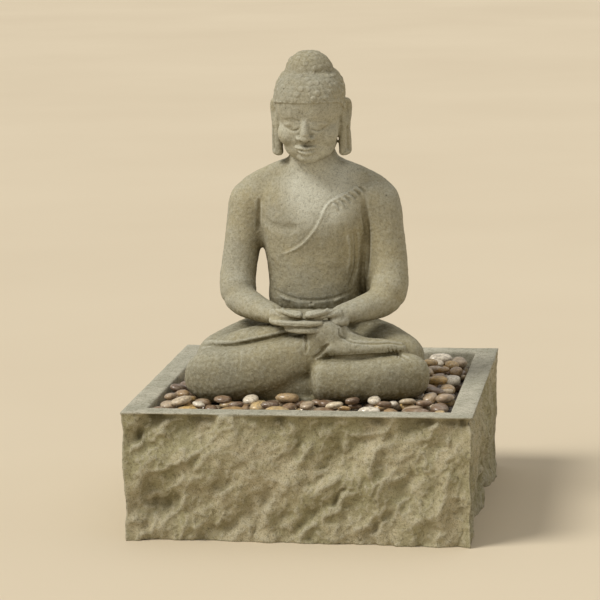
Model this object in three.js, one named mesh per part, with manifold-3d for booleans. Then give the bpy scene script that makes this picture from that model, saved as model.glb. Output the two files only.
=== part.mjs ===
// Garden fountain with a seated Buddha: a cast-stone figure in meditation rests on a pier inside a square
// rock-faced basin. River pebbles lie on a grate over the reservoir, where a small pump feeds a bubbler.
// Millimetres, +Z up, front towards -Y. The origin is the centre of the basin's underside.
import * as THREE from "three";
import { mergeVertices } from "three/addons/utils/BufferGeometryUtils.js";
import Module from "manifold-3d";

const wasm = await Module();
wasm.setup();

// ---- driving dimensions ----
const gap = 0.3; // between pieces that rest on each other
const basin = {
  width: 610,
  height: 230,
  rim: 42, // width of the flat top edge
  floor: 40,
  ledge: 12, // step in the wall that carries the grate
  ledgeTop: 160,
  lip: 9, // smooth band under the top edge
  rockDepth: 13, // deepest hollow of the split face
  taper: 6, // how far the rock face draws in towards its foot
};
const inner = basin.width / 2 - basin.rim; // half-width of the cavity
const figure = { x: -7, y: -35, z: 215 }; // where the figure's underside sits, a little off the middle
const grate = { thick: 12, pitch: 24, slot: 12, rows: 3, bar: 16, pierRoom: 5 };
const pier = { width: 62, depth: 150, spread: 62, y: figure.y, capWidth: 216, capThick: 20 };
const pebbles = { bedTop: 211, bump: 7, count: 24, ring: 240, length: 44, width: 29, thick: 19 };
const bubbler = { x: 112, y: -208, pipe: 9.5, bore: 7.8, top: 205 };
const pump = { width: 46, height: 46, length: 44, z: 50, rotor: 8, well: 9, shaft: 1.25 };
const cordHole = { x: 180, z: 64, radius: 14, recess: 26, recessDepth: 22 };

// ---- materials ----
const finish = (color, roughness, metalness = 0) =>
  new THREE.MeshStandardMaterial({ color, roughness, metalness });
const castStone = finish(0x9a9379, 0.9);
const rockStone = finish(0x9c9069, 0.95);
const pierStone = finish(0x8e8c84, 0.95);
const riverStone = finish(0x7a6658, 0.35);
const grateMetal = finish(0x83888a, 0.55, 0.8);
const pumpPlastic = finish(0x22272b, 0.5);
const pipePlastic = finish(0x3a3f42, 0.5);
const blackRubber = finish(0x1b1b1b, 0.85);
const ceramic = finish(0xd9d6cc, 0.3);
const magnet = finish(0x3c3c40, 0.6, 0.5);
const dialPlastic = finish(0xcfcabb, 0.45);

// ---- solids and geometry ----
// A closed three.js geometry as a solid, whichever way its faces were wound.
function solid(geometry) {
  const bare = geometry.clone();
  bare.deleteAttribute("normal");
  bare.deleteAttribute("uv");
  const merged = mergeVertices(bare, 1e-3);
  const points = merged.attributes.position;
  const corners = merged.index.array;
  const [a, b, c] = [new THREE.Vector3(), new THREE.Vector3(), new THREE.Vector3()];
  const faces = [];
  let volume = 0;
  for (let i = 0; i < corners.length; i += 3) {
    const [p, q, r] = corners.subarray(i, i + 3);
    if (p === q || q === r || r === p) continue;
    faces.push(p, q, r);
    a.fromBufferAttribute(points, p);
    b.fromBufferAttribute(points, q);
    c.fromBufferAttribute(points, r);
    volume += a.dot(b.cross(c));
  }
  if (volume < 0) faces.reverse();
  const mesh = { numProp: 3, vertProperties: points.array, triVerts: new Uint32Array(faces) };
  return new wasm.Manifold(new wasm.Mesh(mesh));
}

function geometryOf(body) {
  const mesh = body.getMesh();
  const geometry = new THREE.BufferGeometry();
  geometry.setAttribute("position", new THREE.BufferAttribute(mesh.vertProperties, 3));
  geometry.setIndex(new THREE.BufferAttribute(mesh.triVerts, 1));
  geometry.computeVertexNormals();
  return geometry;
}

const box = (x, y, z, cx, cy, lowZ) => new THREE.BoxGeometry(x, y, z).translate(cx, cy, lowZ + z / 2);
const join = (shapes) => shapes.map(solid).reduce((whole, piece) => whole.add(piece));
const cut = (body, shapes) => shapes.map(solid).reduce((whole, piece) => whole.subtract(piece), body);

// A turned shape about +Z: the profile runs from the axis to the axis, or closes on itself, as [radius, z].
const turned = (profile, sides = 18) =>
  new THREE.LatheGeometry(profile.map(([r, z]) => new THREE.Vector2(r, z)), sides).rotateX(Math.PI / 2);

const rod = (radius, length, sides = 18) =>
  turned([[0, 0], [radius, 0], [radius, length], [0, length]], sides);
const ring = (outer, bore, length, sides = 18) =>
  turned([[bore, 0], [outer, 0], [outer, length], [bore, length], [bore, 0]], sides);

const ball = (cx, cy, cz, rx, ry, rz, across = 14, down = 10) =>
  new THREE.SphereGeometry(1, across, down).rotateX(Math.PI / 2).scale(rx, ry, rz).translate(cx, cy, cz);

// A rounded limb bent along a smooth path. Each stop is [x, y, z, across, deep]: a point of the path and the
// half-widths there, square to the path and along the reference direction.
function limb(stops, reference = [0, 0, 1], sides = 12, rings = 9) {
  const path = new THREE.CatmullRomCurve3(stops.map(([x, y, z]) => new THREE.Vector3(x, y, z)));
  const girth = new THREE.CatmullRomCurve3(stops.map(([, , , w, d]) => new THREE.Vector3(w, d, 0)));
  const length = path.getLength();
  const profile = [];
  for (let i = 0; i <= rings; i += 1) {
    const along = 0.5 - 0.5 * Math.cos((Math.PI * i) / rings);
    profile.push(new THREE.Vector2(i % rings ? 1 : 0, along));
  }
  const spindle = new THREE.LatheGeometry(profile, sides);
  const places = spindle.attributes.position;
  const up = new THREE.Vector3(...reference);
  for (let i = 0; i < places.count; i += 1) {
    const along = THREE.MathUtils.clamp(places.getY(i), 0, 1);
    const size = girth.getPoint(along);
    const fromEnd = Math.min(along, 1 - along) * length;
    const rounding = Math.sqrt(Math.max(0, 1 - Math.max(0, 1 - fromEnd / size.y) ** 2));
    const side = path.getTangent(along).cross(up).normalize();
    const deep = side.clone().cross(path.getTangent(along));
    const point = path.getPoint(along);
    point.addScaledVector(side, places.getX(i) * size.x * Math.max(rounding, 0.35));
    point.addScaledVector(deep, places.getZ(i) * size.y * Math.max(rounding, 0.35));
    places.setXYZ(i, point.x, point.y, point.z);
  }
  return spindle;
}

// The same shape on the other side of the figure.
const mirrored = (stops) => stops.map(([x, ...rest]) => [-x, ...rest]);

// A repeatable number from 0 to 1 for piece i, one for each use.
function chance(i, use) {
  const wave = Math.sin(i * 12.9898 + use * 78.233) * 43758.5453;
  return wave - Math.floor(wave);
}

const part = new THREE.Group();

// Adds one piece: a solid or a geometry, in the material, at a place and turn in the part's frame.
function piece(name, shape, material, place = [0, 0, 0], turn = [0, 0, 0]) {
  const geometry = shape.isBufferGeometry ? geometryOf(solid(shape)) : geometryOf(shape);
  const mesh = new THREE.Mesh(geometry, material);
  mesh.name = name;
  mesh.position.set(...place);
  mesh.rotation.set(...turn);
  part.add(mesh);
  return mesh;
}

// ---- basin ----
// How far the split face stands back from the rim's edge, at a place along the wall and a height.
function rockHollow(along, height) {
  const broad = 0.5 + 0.5 * Math.sin(along / 47 + 1.7 * Math.sin(height / 41));
  const split = 0.5 + 0.5 * Math.sin(height / 17 + 2.3 * Math.sin(along / 29));
  const underLip = THREE.MathUtils.smoothstep(basin.height - basin.lip - height, 0, 12);
  return basin.rockDepth * underLip * (0.25 + 0.45 * broad + 0.3 * split);
}

function rockBlock() {
  const { width, height, lip } = basin;
  const block = new THREE.BoxGeometry(width, width, height, 12, 12, 8).translate(0, 0, height / 2);
  const places = block.attributes.position;
  const edge = width / 2;
  const lipRow = height - lip;
  const lastRow = height * (7 / 8);
  for (let i = 0; i < places.count; i += 1) {
    let [x, y, z] = [places.getX(i), places.getY(i), places.getZ(i)];
    const onSide = Math.abs(x) > edge - 1 || Math.abs(y) > edge - 1;
    if (Math.abs(z - lastRow) < 1 && onSide) z = lipRow;
    const taper = (1 - z / height) * basin.taper;
    if (Math.abs(Math.abs(x) - edge) < 1e-3) x = Math.sign(x) * (edge - taper - rockHollow(y + x, z));
    if (Math.abs(Math.abs(y) - edge) < 1e-3) {
      y = Math.sign(y) * (edge - taper - rockHollow(places.getX(i) - y, z));
    }
    places.setXYZ(i, x, y, z);
  }
  return block;
}

function makeBasin() {
  const low = inner - basin.ledge;
  const { x, z, radius, recess, recessDepth } = cordHole;
  const through = basin.rim + basin.ledge + 40;
  const hollow = [
    box(2 * inner, 2 * inner, basin.height, 0, 0, basin.ledgeTop),
    box(2 * low, 2 * low, basin.height, 0, 0, basin.floor),
    rod(radius, through).rotateX(-Math.PI / 2).translate(x, low - 10, z),
    rod(recess, recessDepth + 10).rotateX(-Math.PI / 2).translate(x, basin.width / 2 - recessDepth, z),
  ];
  piece("basin", cut(solid(rockBlock()), hollow), rockStone);
}

function makeGrommet() {
  const seat = basin.width / 2 - cordHole.recessDepth; // bottom of the recess in the outer face
  const bush = cordHole.radius - gap;
  const grommet = turned([
    [4, -38], [bush, -38], [bush, gap], [20, gap], [20, 5], [6, 9], [4, 9], [4, -38],
  ]);
  piece("cord_grommet", grommet, blackRubber, [cordHole.x, seat, cordHole.z], [-Math.PI / 2, 0, 0]);
}

// ---- pier and grate ----
function makePier() {
  const low = basin.floor + gap;
  const capLow = figure.z - gap - pier.capThick;
  [["pier_block_left", -1], ["pier_block_right", 1]].forEach(([name, side]) => {
    const block = box(pier.width, pier.depth, capLow - gap - low, side * pier.spread, pier.y, low);
    piece(name, block, pierStone);
  });
  piece("pier_cap", box(pier.capWidth, pier.depth, pier.capThick, 0, pier.y, capLow), pierStone);
}

// One half of the grate, on the side where x has that sign, slotted and cut round the pier.
function grateHalf(side) {
  const edge = inner - gap;
  const notchX = pier.spread + pier.width / 2 + grate.pierRoom;
  const notchLow = pier.y - pier.depth / 2 - grate.pierRoom;
  const notchHigh = pier.y + pier.depth / 2 + grate.pierRoom;
  const pipeHole = side > 0;
  const plate = box(edge - gap, 2 * edge, grate.thick, (side * (edge + gap)) / 2, 0, 0);
  const cutters = [box(2 * notchX, notchHigh - notchLow, 60, 0, (notchLow + notchHigh) / 2, -20)];
  if (pipeHole) cutters.push(rod(bubbler.pipe + 1.5, 60).translate(bubbler.x, bubbler.y, -20));
  const rowLength = (2 * edge - grate.bar * (grate.rows + 1)) / grate.rows;
  const blocked = (x, low, high) => {
    const byNotch = x < notchX + grate.slot && high > notchLow - grate.slot && low < notchHigh + grate.slot;
    const byPipe = pipeHole && Math.abs(x - bubbler.x) < 26 && low < bubbler.y + 18 && high > bubbler.y - 18;
    return byNotch || byPipe;
  };
  for (let x = 20; x < edge - 12; x += grate.pitch) {
    for (let row = 0; row < grate.rows; row += 1) {
      const low = -edge + grate.bar + row * (rowLength + grate.bar);
      if (blocked(x, low, low + rowLength)) continue;
      cutters.push(box(grate.slot, rowLength, 60, side * x, low + rowLength / 2, -20));
    }
  }
  return cut(solid(plate), cutters);
}

function makeGrate() {
  const low = basin.ledgeTop + gap;
  piece("grate_right", grateHalf(1), grateMetal, [0, 0, low]);
  piece("grate_left", grateHalf(-1), grateMetal, [0, 0, low]);
}

// ---- pebbles ----
// The lower layers of stones as one bed with a cobbled top, open round the pier and the bubbler.
function makePebbleBed() {
  const low = basin.ledgeTop + grate.thick + 2 * gap;
  const { bedTop, bump } = pebbles;
  const edge = inner - gap;
  const bed = new THREE.BoxGeometry(2 * edge, 2 * edge, bedTop - low, 16, 16, 1);
  bed.translate(0, 0, (bedTop + low) / 2);
  const places = bed.attributes.position;
  for (let i = 0; i < places.count; i += 1) {
    if (places.getZ(i) < bedTop - 1) continue;
    const [x, y] = [places.getX(i), places.getY(i)];
    places.setZ(i, bedTop - bump * (0.5 - 0.5 * Math.sin(x / 11 + 2 * Math.sin(y / 15)) * Math.cos(y / 9)));
  }
  const pierRoom = box(pier.capWidth + 4, pier.depth + 4, 120, 0, pier.y, low - 20);
  const pipeRoom = rod(22, 120, 16).translate(bubbler.x, bubbler.y, low - 20);
  piece("pebble_bed", cut(solid(bed), [pierRoom, pipeRoom]), riverStone);
}

// The largest stones of the top layer, in a ring round the figure.
function makeTopPebbles() {
  const { count, ring: half, bedTop, length, width, thick } = pebbles;
  const perSide = count / 4;
  for (let i = 0; i < count; i += 1) {
    const side = Math.floor(i / perSide);
    const along = ((i % perSide) + 0.5) / perSide;
    const size = 0.85 + 0.3 * chance(i, 1);
    const tall = (thick / 2) * (0.85 + 0.25 * chance(i, 2));
    const stone = ball(0, 0, 0, (length / 2) * size, (width / 2) * size, tall, 8, 6);
    const spot = new THREE.Vector3(2 * half * (along - 0.5), -half + 3 * chance(i, 3), bedTop + gap + tall);
    spot.applyAxisAngle(new THREE.Vector3(0, 0, 1), (side * Math.PI) / 2);
    const turn = [0, 0, (side * Math.PI) / 2 + 0.3 * (chance(i, 4) - 0.5)];
    piece(`pebble_${String(i + 1).padStart(2, "0")}`, stone, riverStone, spot.toArray(), turn);
  }
}

// ---- figure ----
// Heights are above the figure's own underside; x is positive to the figure's left.
const legs = {
  spread: 1.05, // the knees reach a little further out on the right side
  shift: -8,
  // each knee carries a shin: the right one lies on top, and the left one lies below it
  thigh: [[40, 60, 78, 62, 60], [110, 15, 76, 62, 52], [168, -52, 58, 50, 46], [188, -78, 52, 38, 38]],
  upperShin: [
    [-196, -72, 52, 36, 42], [-150, -86, 58, 42, 46], [-80, -98, 70, 34, 40],
    [0, -92, 88, 28, 34], [34, -78, 98, 24, 26],
  ],
  lowerShin: [
    [198, -66, 48, 36, 42], [150, -84, 48, 42, 44], [80, -92, 46, 38, 42],
    [0, -84, 40, 34, 38], [-50, -62, 34, 28, 30],
  ],
  upperFoot: [[8, -92, 92, 20, 26], [46, -86, 108, 24, 22], [96, -70, 106, 26, 14], [134, -58, 98, 20, 10]],
};
const trunk = [
  [0, 44, 30, 120, 74], [0, 44, 90, 112, 70], [0, 40, 150, 88, 60], [0, 38, 200, 86, 57],
  [0, 36, 260, 95, 62], [0, 34, 320, 110, 66], [0, 34, 362, 116, 58], [0, 32, 392, 92, 46],
  [0, 28, 418, 48, 40], [0, 22, 450, 40, 38],
];
const arm = {
  upper: [[112, 36, 392, 30, 30], [124, 36, 350, 40, 40], [134, 34, 295, 34, 36],
    [139, 26, 235, 30, 33], [139, 8, 186, 30, 30], [132, 0, 168, 20, 20]],
  fore: [[146, 12, 178, 26, 26], [128, -8, 170, 28, 30], [94, -44, 158, 26, 25],
    [58, -70, 150, 24, 19], [34, -80, 147, 22, 16]],
};
const head = { z: 497, y: 10 };

function makeFigure() {
  const leg = (stops) => limb(stops.map(([x, ...rest]) => [x * legs.spread + legs.shift, ...rest]));
  const clay = [
    ball(0, 45, 74, 128, 78, 74), // seat
    ball(-112, 36, 366, 45, 43, 43), // shoulders
    ball(112, 36, 366, 45, 43, 43),
    limb(trunk, [0, 1, 0], 18, 16),
    leg(legs.thigh),
    leg(mirrored(legs.thigh)),
    leg(legs.upperShin),
    leg(legs.lowerShin),
    leg(legs.upperFoot),
    limb(arm.upper, [0, -1, 0]),
    limb(mirrored(arm.upper), [0, -1, 0]),
    limb(arm.fore),
    limb(mirrored(arm.fore)),
    ball(0, -88, 140, 48, 26, 13), // the hands, one laid in the other
    ball(0, -84, 154, 34, 14, 8), // the thumbs
    ball(0, -40, 96, 90, 70, 40), // the lap between the thighs
  ];
  clay.push(
    ball(0, head.y - 4, head.z - 4, 56, 66, 74), // face
    ball(0, head.y + 8, head.z + 36, 66, 74, 62), // skull
    ball(0, head.y + 14, head.z + 84, 43, 43, 38), // crown
    ball(0, head.y - 66, head.z - 14, 9, 12, 17, 8, 6), // nose
  );
  [-1, 1].forEach((side) => {
    clay.push(ball(side * 68, head.y + 12, head.z - 18, 9, 17, 49, 10, 8)); // long ear lobes
  });
  const body = join(clay);
  const outline = new THREE.Shape();
  outline.absellipse(0, 5, 196, 108, 0, 2 * Math.PI);
  const plinth = new THREE.ExtrudeGeometry(outline, { depth: 16, bevelEnabled: false, curveSegments: 20 });
  const below = box(600, 600, 200, 0, 0, -200);
  const statue = cut(body.add(solid(plinth)), [below]);
  piece("seated_figure", statue, castStone, [figure.x, figure.y, figure.z]);
}

// ---- pump and bubbler ----
// The pump lies on its feet with its rotor along X: the volute and the intake face -X, under the bubbler.
function makePump() {
  const { width, height, length, z, rotor, well, shaft } = pump;
  const volute = { thick: 16, chamber: 14 };
  const backX = bubbler.x + volute.thick / 2; // where the volute meets the motor block
  const axisZ = z + height / 2;
  const y = bubbler.y;
  const alongX = (shape) => shape.rotateY(Math.PI / 2);
  const at = (x) => [x, y, axisZ];

  const block = solid(box(length, width, height, 0, 0, -height / 2));
  const wellHole = alongX(rod(well, 37)).translate(-length / 2 - 1, 0, 0);
  const glandHole = alongX(rod(5.3, 9)).translate(length / 2 - 8, 0, -10);
  piece("pump_motor_block", cut(block, [wellHole, glandHole]), pumpPlastic, at(backX + gap + length / 2));

  const rotorLow = backX + gap + 6;
  piece("rotor_bush_rear", alongX(ring(8.5, shaft + 0.1, 4)), blackRubber, at(backX + gap + 31.5));
  piece("rotor_shaft", alongX(rod(shaft, 50)), ceramic, at(backX - 15));
  piece("rotor_magnet", alongX(ring(rotor, shaft + 0.2, 24)), magnet, at(rotorLow));

  const blades = [0, 1, 2, 3, 4, 5].map((n) =>
    box(8, 2, 7, 0, 0, 4).rotateX((n * Math.PI) / 3));
  const hub = alongX(rod(5, 15.5)).translate(-4, 0, 0);
  const wheel = cut(join([hub, ...blades]), [alongX(rod(shaft + 0.2, 30)).translate(-15, 0, 0)]);
  piece("impeller", wheel, pumpPlastic, at(backX - 6));

  const voluteBlock = box(volute.thick, width, height, 0, 0, -height / 2);
  const nipple = rod(bubbler.bore - gap, 16).translate(0, 0, height / 2 - 1);
  const chamber = alongX(rod(volute.chamber, 13)).translate(-volute.thick / 2 + 4, 0, 0);
  const eye = alongX(ring(5, 2.4, 30, 20)).translate(-volute.thick / 2 - 15, 0, 0);
  const outlet = rod(4.5, 50, 16);
  const voluteBody = cut(join([voluteBlock, nipple]), [chamber, eye, outlet]);
  const spokes = box(3, 12, 1.6, -volute.thick / 2 + 1.5, 0, -0.8);
  const bearing = alongX(rod(shaft + 0.1, 30)).translate(-15, 0, 0);
  piece("pump_volute", cut(voluteBody.add(solid(spokes)), [bearing]), pumpPlastic, at(bubbler.x));

  const coverX = bubbler.x - volute.thick / 2 - gap;
  const shell = solid(box(20, width, height, -10, 0, -height / 2));
  const room = box(18, width - 5, height - 5, -9, 0, -(height - 5) / 2).translate(1, 0, 0);
  const slots = [-14, -7, 0, 7, 14].map((sy) => box(10, 3, height - 18, -20, sy, -height / 2 + 4));
  const dialHole = alongX(rod(3.2, 30)).translate(-30, 0, 15);
  piece("pump_intake_cover", cut(shell, [room, ...slots, dialHole]), pumpPlastic, at(coverX));

  const dial = turned([[0, -4], [2.8, -4], [2.8, gap], [6, gap], [6, 3], [0, 3]], 20);
  const grip = box(2, 8, 2.5, 0, 0, 2.5);
  const knob = join([dial, grip]);
  piece("flow_dial", knob, dialPlastic, [coverX - 20, y, axisZ + 15], [0, -Math.PI / 2, 0]);

  const gland = turned([[3.4, 0], [5, 0], [5, 7.5], [7, 7.5], [7, 10], [4.4, 22], [3.4, 22], [3.4, 0]], 20);
  piece("pump_cable_gland", alongX(gland), blackRubber, [backX + gap + length - 7, y, axisZ - 10]);

  const cup = turned([[0, 3], [6, 2], [9, 0], [9.6, 0], [8, 3.4], [3, 5.2], [3, 9.4], [0, 9.4]], 16);
  const corners = [["1", -1, -1], ["2", 1, -1], ["3", 1, 1], ["4", -1, 1]];
  corners.forEach(([n, sx, sy]) => {
    const place = [backX + gap + length / 2 + sx * 12, y + sy * 13, basin.floor + gap];
    piece(`suction_foot_${n}`, cup.clone(), blackRubber, place);
  });

  const pipeLow = z + height + 2 * gap;
  const pipe = ring(bubbler.pipe, bubbler.bore, bubbler.top - pipeLow);
  piece("outlet_pipe", pipe, pipePlastic, [bubbler.x, y, pipeLow]);
  const dome = turned([[bubbler.pipe + gap, -12], [13, -12], [13, 2], [9, 6], [4, 7.5], [4, 4], [7, gap + 1],
    [bubbler.pipe + gap, gap], [bubbler.pipe + gap, -12]]);
  piece("bubbler_cap", dome, pipePlastic, [bubbler.x, y, bubbler.top]);
}

makeBasin();
makeGrommet();
makePier();
makeGrate();
makePebbleBed();
makeTopPebbles();
makeFigure();
makePump();

export default part;
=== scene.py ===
import math
import random

import bmesh
import bpy
import numpy as np
from mathutils import Euler, Matrix, Vector, noise
from mathutils.bvhtree import BVHTree
from mathutils.kdtree import KDTree


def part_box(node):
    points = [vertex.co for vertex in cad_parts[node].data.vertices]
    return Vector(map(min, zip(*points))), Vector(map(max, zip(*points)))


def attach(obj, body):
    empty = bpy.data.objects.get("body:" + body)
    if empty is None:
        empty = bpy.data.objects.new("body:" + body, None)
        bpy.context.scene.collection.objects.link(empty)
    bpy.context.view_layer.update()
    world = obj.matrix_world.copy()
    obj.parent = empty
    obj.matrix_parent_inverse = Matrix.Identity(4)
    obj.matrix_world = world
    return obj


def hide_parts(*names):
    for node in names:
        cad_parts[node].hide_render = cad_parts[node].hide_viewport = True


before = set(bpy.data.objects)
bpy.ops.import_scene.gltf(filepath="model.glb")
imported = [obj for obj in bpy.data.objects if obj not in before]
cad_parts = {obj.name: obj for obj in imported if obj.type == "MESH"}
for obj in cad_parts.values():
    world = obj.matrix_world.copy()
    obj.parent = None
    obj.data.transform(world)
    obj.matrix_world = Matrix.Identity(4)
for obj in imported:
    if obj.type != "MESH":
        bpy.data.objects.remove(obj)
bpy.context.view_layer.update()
scene = bpy.context.scene
mm = 0.001
body = "basin_assembly"


# Camera, floor and light

def makeCamera():
    view = {"place": (0.651, -4.495, 1.177), "look": (-0.1522, 1, -0.1784), "lens": 152.6, "roll": -1.0}
    camera = bpy.data.objects.new("camera", bpy.data.cameras.new("camera"))
    scene.collection.objects.link(camera)
    camera.location = view["place"]
    aim = Vector(view["look"]).to_track_quat("-Z", "Y").to_matrix()
    camera.rotation_euler = (aim @ Matrix.Rotation(math.radians(view["roll"]), 3, "Z")).to_euler()
    camera.data.lens = view["lens"]
    camera.data.clip_end = 200
    scene.camera = camera


def makeStudio():
    studio = {"floorSize": 90, "sky": (1.0, 0.965, 0.91), "skyStrength": 0.40}
    lamps = {
        "keyLight": {"from": (-0.90, -0.55, 1.25), "strength": 2.45, "spread": 24, "colour": (1, 0.975, 0.92)},
        "topLight": {"from": (0.25, 0.35, 1.0), "strength": 0.45, "spread": 60, "colour": (1, 0.98, 0.95)},
    }
    bm = bmesh.new()
    bmesh.ops.create_grid(bm, x_segments=2, y_segments=2, size=studio["floorSize"] / 2)
    floor = objectFrom("floor", bm)
    floor.data.materials.append(floorPaint())
    for name, lamp in lamps.items():
        light = bpy.data.objects.new(name, bpy.data.lights.new(name, "SUN"))
        scene.collection.objects.link(light)
        light.data.energy = lamp["strength"]
        light.data.angle = math.radians(lamp["spread"])
        light.data.color = lamp["colour"]
        light.rotation_euler = Vector(lamp["from"]).to_track_quat("Z", "Y").to_euler()
    world = bpy.data.worlds.new("softSky")
    world.use_nodes = True
    sky = world.node_tree.nodes["Background"]
    sky.inputs["Color"].default_value = (*studio["sky"], 1)
    sky.inputs["Strength"].default_value = studio["skyStrength"]
    scene.world = world
    scene.view_settings.view_transform = "Standard"


# Material helpers: a socket in a node's inputs is linked, anything else is set

def newMaterial(name):
    material = bpy.data.materials.new(name)
    material.use_nodes = True
    return material


def node(material, kind, inputs=None, **settings):
    made = material.node_tree.nodes.new(kind)
    for key, value in settings.items():
        setattr(made, key, value)
    for key, value in (inputs or {}).items():
        if isinstance(value, bpy.types.NodeSocket):
            material.node_tree.links.new(value, made.inputs[key])
        else:
            made.inputs[key].default_value = value
    return made


def surface(material, **inputs):
    shader = material.node_tree.nodes["Principled BSDF"]
    names = {"colour": "Base Color", "roughness": "Roughness", "normal": "Normal", "metallic": "Metallic",
             "coat": "Coat Weight", "coatRoughness": "Coat Roughness", "specular": "Specular IOR Level"}
    for key, value in inputs.items():
        if isinstance(value, bpy.types.NodeSocket):
            material.node_tree.links.new(value, shader.inputs[names[key]])
        else:
            shader.inputs[names[key]].default_value = value


def objectSpace(material, stretch=(1, 1, 1), turn=(0, 0, 0), shift=(0, 0, 0)):
    place = node(material, "ShaderNodeTexCoord").outputs["Object"]
    mapping = node(material, "ShaderNodeMapping", {"Vector": place})
    mapping.inputs["Scale"].default_value = stretch
    mapping.inputs["Rotation"].default_value = turn
    mapping.inputs["Location"].default_value = shift
    return mapping.outputs["Vector"]


def cloud(material, vector, scale, detail=4, rough=0.55, warp=0.0):
    made = node(material, "ShaderNodeTexNoise", {"Vector": vector, "Scale": scale, "Detail": detail,
                                                 "Roughness": rough, "Distortion": warp})
    return made.outputs["Fac"]


def cells(material, vector, scale, output="Distance", feature="F1", random=1.0):
    made = node(material, "ShaderNodeTexVoronoi", {"Vector": vector, "Scale": scale, "Randomness": random},
                feature=feature)
    return made.outputs[output]


def ramp(material, value, stops):
    made = node(material, "ShaderNodeValToRGB", {"Fac": value})
    elements = made.color_ramp.elements
    while len(elements) < len(stops):
        elements.new(0.5)
    for element, (place, colour) in zip(elements, stops):
        element.position = place
        element.color = (*colour, 1) if hasattr(colour, "__len__") else (colour, colour, colour, 1)
    return made.outputs["Color"]


def mixed(material, factor, first, second, mode="MIX"):
    made = node(material, "ShaderNodeMix", data_type="RGBA", blend_type=mode)
    for index, value in ((0, factor), (6, first), (7, second)):
        if isinstance(value, bpy.types.NodeSocket):
            material.node_tree.links.new(value, made.inputs[index])
        elif index:
            made.inputs[index].default_value = (*value, 1) if hasattr(value, "__len__") else (value, value, value, 1)
        else:
            made.inputs[index].default_value = value
    return made.outputs[2]


def maths(material, operation, first, second=0.0):
    made = node(material, "ShaderNodeMath", {0: first, 1: second}, operation=operation)
    return made.outputs[0]


def spread(material, value, low, high, newLow=0.0, newHigh=1.0):
    made = node(material, "ShaderNodeMapRange", {"Value": value, "From Min": low, "From Max": high,
                                                 "To Min": newLow, "To Max": newHigh})
    return made.outputs["Result"]


def bump(material, height, distance, strength=1.0, normal=None):
    inputs = {"Height": height, "Distance": distance, "Strength": strength}
    if normal:
        inputs["Normal"] = normal
    return node(material, "ShaderNodeBump", inputs).outputs["Normal"]


def painted(material, name):
    return node(material, "ShaderNodeAttribute", attribute_name=name).outputs["Fac"]


# Materials

def floorPaint():
    material = newMaterial("creamFloor")
    space = objectSpace(material)
    drift = cloud(material, space, 0.6, 3)
    colour = ramp(material, drift, [(0.3, (0.635, 0.545, 0.405)), (0.7, (0.67, 0.58, 0.435))])
    surface(material, colour=colour, roughness=0.9, specular=0.1)
    return material


def castStone():
    material = newMaterial("castStone")
    tone = {
        "warm": (0.43, 0.385, 0.25), "grey": (0.40, 0.38, 0.29), "dirtAndShade": (0.125, 0.098, 0.04),
        "dustAndHighlight": (0.66, 0.655, 0.55), "darkGrain": (0.13, 0.112, 0.07), "lightGrain": (0.58, 0.54, 0.42),
        "mossAndLowShade": (0.15, 0.13, 0.06), "lichen": (0.24, 0.225, 0.175),
    }
    space = objectSpace(material)
    base = mixed(material, ramp(material, cloud(material, space, 9, 5, 0.65), [(0.4, 0.0), (0.6, 1.0)]),
                 tone["warm"], tone["grey"])
    # pale dust and a painted highlight on the top of the chest and the face
    for centre, size, strength in (((0.016, -0.085, 0.590), (0.085, 0.17, 0.088), 2.6),
                                   ((0.000, -0.075, 0.690), (0.085, 0.10, 0.095), 0.9)):
        place = [-c / r for c, r in zip(centre, size)]
        patch = objectSpace(material, [1 / r for r in size], (0, 0, 0), place)
        glow = node(material, "ShaderNodeTexGradient", {"Vector": patch}, gradient_type="SPHERICAL").outputs["Fac"]
        rubbedAndLit = maths(material, "MULTIPLY", spread(material, glow, 0.0, 0.55), cloud(material, space, 30, 3))
        base = mixed(material, maths(material, "MULTIPLY", rubbedAndLit, strength), base, tone["dustAndHighlight"])
    # painted shade and dirt darken the hollows and the undersides, with ragged edges
    ragged = spread(material, cloud(material, space, 26, 5, 0.7), 0.3, 0.7, -0.14, 0.14)
    hollowShade = maths(material, "ADD", painted(material, "hollowShade"), ragged)
    base = mixed(material, spread(material, hollowShade, 0.12, 0.75, 0, 0.95), base, tone["dirtAndShade"])
    # the lap and legs darken towards the bottom: painted shade where the light falls off, together with olive
    # weathering near the wet stones
    height = node(material, "ShaderNodeSeparateXYZ", {"Vector": space}).outputs["Z"]
    height = maths(material, "ADD", height, spread(material, cloud(material, space, 14, 4), 0.3, 0.7, -0.02, 0.02))
    base = mixed(material, spread(material, height, 0.235, 0.37, 0.55, 0), base, tone["mossAndLowShade"])
    base = mixed(material, spread(material, height, 0.735, 0.80, 0, 0.32), base, tone["lichen"])
    # ridges painted paler: pale dust and a painted highlight
    edge = spread(material, painted(material, "edge"), 0.52, 0.78, 0, 0.4)
    base = mixed(material, edge, base, tone["dustAndHighlight"])
    fine = cloud(material, space, 620, 3, 0.7)
    coarse = cloud(material, space, 210, 4, 0.7)
    base = mixed(material, ramp(material, fine, [(0.36, 0.45), (0.5, 0.0)]), base, tone["darkGrain"])
    base = mixed(material, ramp(material, coarse, [(0.34, 0.36), (0.48, 0.0)]), base, tone["darkGrain"])
    base = mixed(material, ramp(material, coarse, [(0.52, 0.0), (0.7, 0.36)]), base, tone["lightGrain"])
    pits = ramp(material, cells(material, space, 82), [(0.04, 1.0), (0.13, 0.0)])
    sparse = ramp(material, cloud(material, space, 24, 2), [(0.5, 0.0), (0.62, 1.0)])
    pits = maths(material, "MULTIPLY", pits, sparse)
    base = mixed(material, maths(material, "MULTIPLY", pits, 0.6), base, tone["darkGrain"])
    height = maths(material, "ADD", maths(material, "MULTIPLY", fine, 0.4), coarse)
    height = maths(material, "SUBTRACT", height, pits)
    surface(material, colour=base, roughness=0.92, specular=0.18, normal=bump(material, height, 0.0016, 0.85))
    return material


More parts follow.
